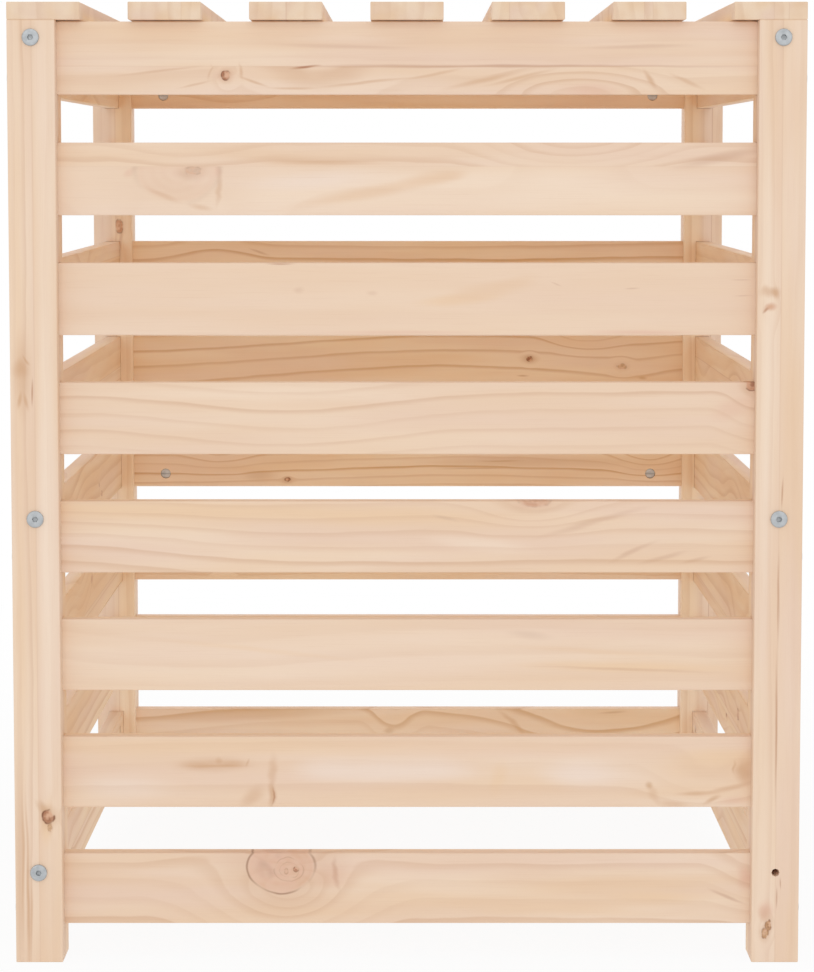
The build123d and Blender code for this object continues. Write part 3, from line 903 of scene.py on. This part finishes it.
def bolt_place(face, end, number):
    """Head on a post's face: the bolt's Z becomes the face's outward direction."""
    rise = BOLT_OFFSET if face in ("front", "back") else -BOLT_OFFSET

    def place(points):
        laid = np.stack([points[:, 0], -points[:, 2], points[:, 1]], -1)
        return turned(laid + (end * POST_MIDDLE, -POST_FACE, rail_height(number) + rise), face)
    return place


def nut_place(wall, end, number):
    """Nut in a rail, on the line of the bolt that comes through the post along that rail."""
    rise = -BOLT_OFFSET if wall in ("front", "back") else BOLT_OFFSET
    from_middle = end * (POST_INNER - NUT_SETBACK)

    def place(points):
        return turned(points + (from_middle, -POST_MIDDLE, rail_height(number) + rise), wall)
    return place


def screw_place(number, end):
    """Screw up through a batten into the middle of the stretch of board that lies on it."""
    board = (number - 1) * LID_PITCH - LID_EDGE_BOARD
    left, right = max(board - BOARD_HALF, -BATTEN_END), min(board + BOARD_HALF, BATTEN_END)

    def place(points):
        return points * (1, -1, -1) + ((left + right) / 2, end * BATTEN_MIDDLE, BATTEN_UNDERSIDE)
    return place


def zinc(name, colour, dull, rough):
    """Zinc plate: a metal with a faint spangle and duller, rougher patches."""
    material, root = new_material(name)
    in_bin = in_millimetres(root)
    spangle = cloud(in_bin, SPANGLE)[0]
    patch = cloud(in_bin, ZINC_PATCH, 3.0)[0]
    tint = blend(smooth(patch, 0.35, 0.7) * 0.6 + spangle * 0.2, colour, dull)
    roughness = patch * 0.2 + (spangle * 0.1 + rough)
    bump = root.node("Bump", sockets={"Strength": 0.08, "Distance": ZINC_RELIEF * MM, "Height": spangle})
    surface(root, {"Base Color": tint, "Metallic": 1.0, "Roughness": roughness, "Normal": bump})
    return material


def fit_fasteners():
    """Bolts and nuts of all four walls and the screws of the lid, in place of their CAD nodes."""
    bolt_zinc = zinc("bolt_zinc", tone(190, 193, 195), tone(176, 180, 183), 0.5)
    nut_zinc = zinc("nut_zinc", tone(206, 207, 206), tone(184, 184, 182), 0.36)
    screw_zinc = zinc("screw_zinc", tone(204, 198, 180), tone(180, 172, 150), 0.3)
    bolt = lathe(BOLT_ROWS, hexagon, BOLT_FLATS)
    nut = barrel()
    screw = lathe(SCREW_ROWS, cross, SCREW_FLATS)
    for wall in QUARTER_TURNS:
        spots = [(wall, end, number) for number in BOLTED_RAILS for end in (-1, 1)]
        heads = [bolt_place(*spot) for spot in spots if spot != MISSING_BOLT]
        bolts = fasteners(f"{wall}_bolt_set", bolt, heads, "frame", bolt_zinc)
        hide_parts(f"{wall}_bolts")
        bores = [nut_place(*spot) for spot in spots]
        nuts = fasteners(f"{wall}_nut_set", nut, bores, "frame", nut_zinc)
        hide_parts(f"{wall}_rail_nuts")
    under = [screw_place(number, end) for number in range(1, LID_BOARDS + 1) for end in (-1, 1)]
    screws = fasteners("lid_screw_set", screw, under, "lid", screw_zinc)
    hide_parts("lid_screws")


# Stage: places in metres, the camera's dip in degrees, its lens and sensor in millimetres

WHITE = (1, 1, 1, 1)
FLOOR_GREY = (0.8, 0.8, 0.8, 1)
FLOOR_REACH = 60.0
# Strength of the sky as light, which the camera sees as 1
SKY_LIGHT = 0.82
# Share of the floor that glows in its light on things, what is added to that for the camera, and what is
# added to both for the camera far from the bin
FLOOR_GLOW = 0.64
NEAR_GLOW = 0.28
FAR_GLOW = 0.08
NEAR_AND_FAR = (0.4, 1.6)
# Place of each lamp and its power in watts
LAMPS = {
    "front": (0.0, -6.5, 2.6, 76.0),
    "back": (0.0, 6.5, 2.6, 66.0),
    "left": (-6.5, 0.0, 2.6, 12.0),
    "top": (0.0, 0.0, 6.5, 36.0),
}
LAMP_SIZE = (5.0, 3.2)
LAMP_AIM_HEIGHT = 0.4
CAMERA_PLACE = (0.0032, -2.5345, 0.6497)
CAMERA_DIP = 4.2588
CAMERA_SHIFT = (-0.00418, -0.122)
LENS = 102.988
SENSOR = 36.0
CAMERA_REACH = 200.0
LIGHT_BOUNCES = 8


def white_for_camera(root):
    """1 for rays that should see the white background itself, and 0 for the light that falls on things."""
    rays = ("Is Camera Ray", "Is Glossy Ray", "Is Transmission Ray")
    camera, glossy, through = root.node("LightPath", output=rays)
    return larger(larger(camera, glossy), through)


def studio():
    """White floor and background, with soft lamps in front, behind, on the left and above."""
    world = bpy.data.worlds.new("studio")
    bpy.context.scene.world = world
    world.use_nodes = True
    world.node_tree.nodes.clear()
    root = Shade(world.node_tree)
    strength = white_for_camera(root) * (1 - SKY_LIGHT) + SKY_LIGHT
    sky = root.node("Background", sockets={"Color": WHITE, "Strength": strength})
    root.node("OutputWorld", sockets={"Surface": sky}, output=())

    material, root = new_material("floor_white")
    matt = root.node("BsdfDiffuse", sockets={"Color": FLOOR_GREY})
    glow = root.node("Emission", sockets={"Color": WHITE, "Strength": 1.0})
    coords = root.node("TexCoord", output=3)
    away = root.node("VectorMath", {"operation": "LENGTH"}, {0: coords}, 1)
    seen_glow = smooth(away, *NEAR_AND_FAR) * FAR_GLOW + NEAR_GLOW
    share = white_for_camera(root) * seen_glow + FLOOR_GLOW
    both = root.node("MixShader", sockets={0: share, 1: matt, 2: glow})
    root.node("OutputMaterial", sockets={"Surface": both}, output=())
    mesh = bpy.data.meshes.new("floor")
    corners = [(x * FLOOR_REACH, y * FLOOR_REACH, 0) for x, y in ((-1, -1), (1, -1), (1, 1), (-1, 1))]
    mesh.from_pydata(corners, [], [(0, 1, 2, 3)])
    mesh.materials.append(material)
    floor = bpy.data.objects.new("floor", mesh)
    bpy.context.scene.collection.objects.link(floor)

    for name, (x, y, z, power) in LAMPS.items():
        lamp = bpy.data.lights.new(f"lamp_{name}", "AREA")
        lamp.shape = "RECTANGLE"
        lamp.size, lamp.size_y = LAMP_SIZE
        lamp.energy = power
        lamp_object = bpy.data.objects.new(f"lamp_{name}", lamp)
        lamp_object.location = (x, y, z)
        aim = Vector((-x, -y, LAMP_AIM_HEIGHT - z))
        lamp_object.rotation_euler = aim.to_track_quat("-Z", "Y").to_euler()
        bpy.context.scene.collection.objects.link(lamp_object)


def photograph():
    """The camera, level with the second rail and looking slightly down at the front."""
    scene = bpy.context.scene
    camera = bpy.data.cameras.new("camera")
    camera.lens = LENS
    camera.sensor_width = SENSOR
    camera.shift_x, camera.shift_y = CAMERA_SHIFT
    camera.clip_end = CAMERA_REACH
    seen_from = bpy.data.objects.new("camera", camera)
    seen_from.location = CAMERA_PLACE
    seen_from.rotation_euler = (radians(90 - CAMERA_DIP), 0, 0)
    scene.collection.objects.link(seen_from)
    scene.camera = seen_from
    scene.view_settings.view_transform = "Standard"
    scene.cycles.diffuse_bounces = LIGHT_BOUNCES


finish_wood()
fit_fasteners()
studio()
photograph()
